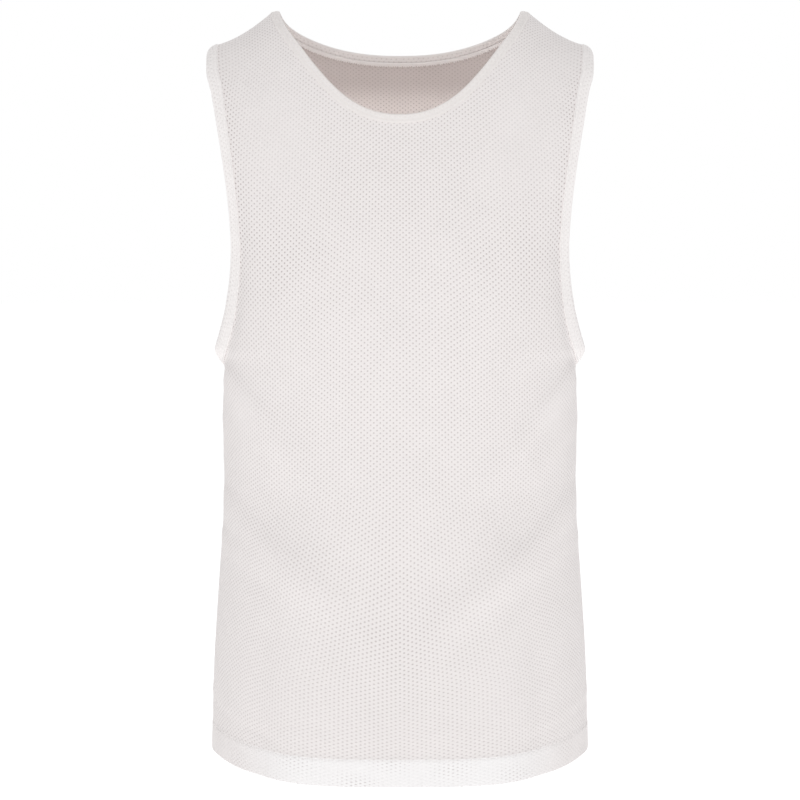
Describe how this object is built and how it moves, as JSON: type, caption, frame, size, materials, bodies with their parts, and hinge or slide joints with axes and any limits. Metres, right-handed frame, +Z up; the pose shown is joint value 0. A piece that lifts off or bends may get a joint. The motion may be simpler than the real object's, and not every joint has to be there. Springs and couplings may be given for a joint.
{
  "type": "mesh training bib",
  "caption": "Sleeveless pin-hole mesh training bib, filled out as worn, with bound neck and armholes and a turned-up hem.",
  "frame": {"origin": "midway between the neck ends of the two shoulder seams, where the wearer's shoulders hold the bib", "axes": "+Z up, the front faces -Y, +X towards the wearer's left"},
  "size_m": [0.3526, 0.2393, 0.6917],
  "materials": {
    "mesh_cloth": "white knitted polyester mesh with small round holes, matt",
    "binding_cloth": "the same mesh folded double, so brighter and with fainter holes"
  },
  "bodies": {
    "root": {"front_panel": "mesh_cloth", "back_panel": "mesh_cloth", "neck_binding": "binding_cloth", "armhole_binding_left": "binding_cloth", "armhole_binding_right": "binding_cloth"}
  },
  "joints": []
}
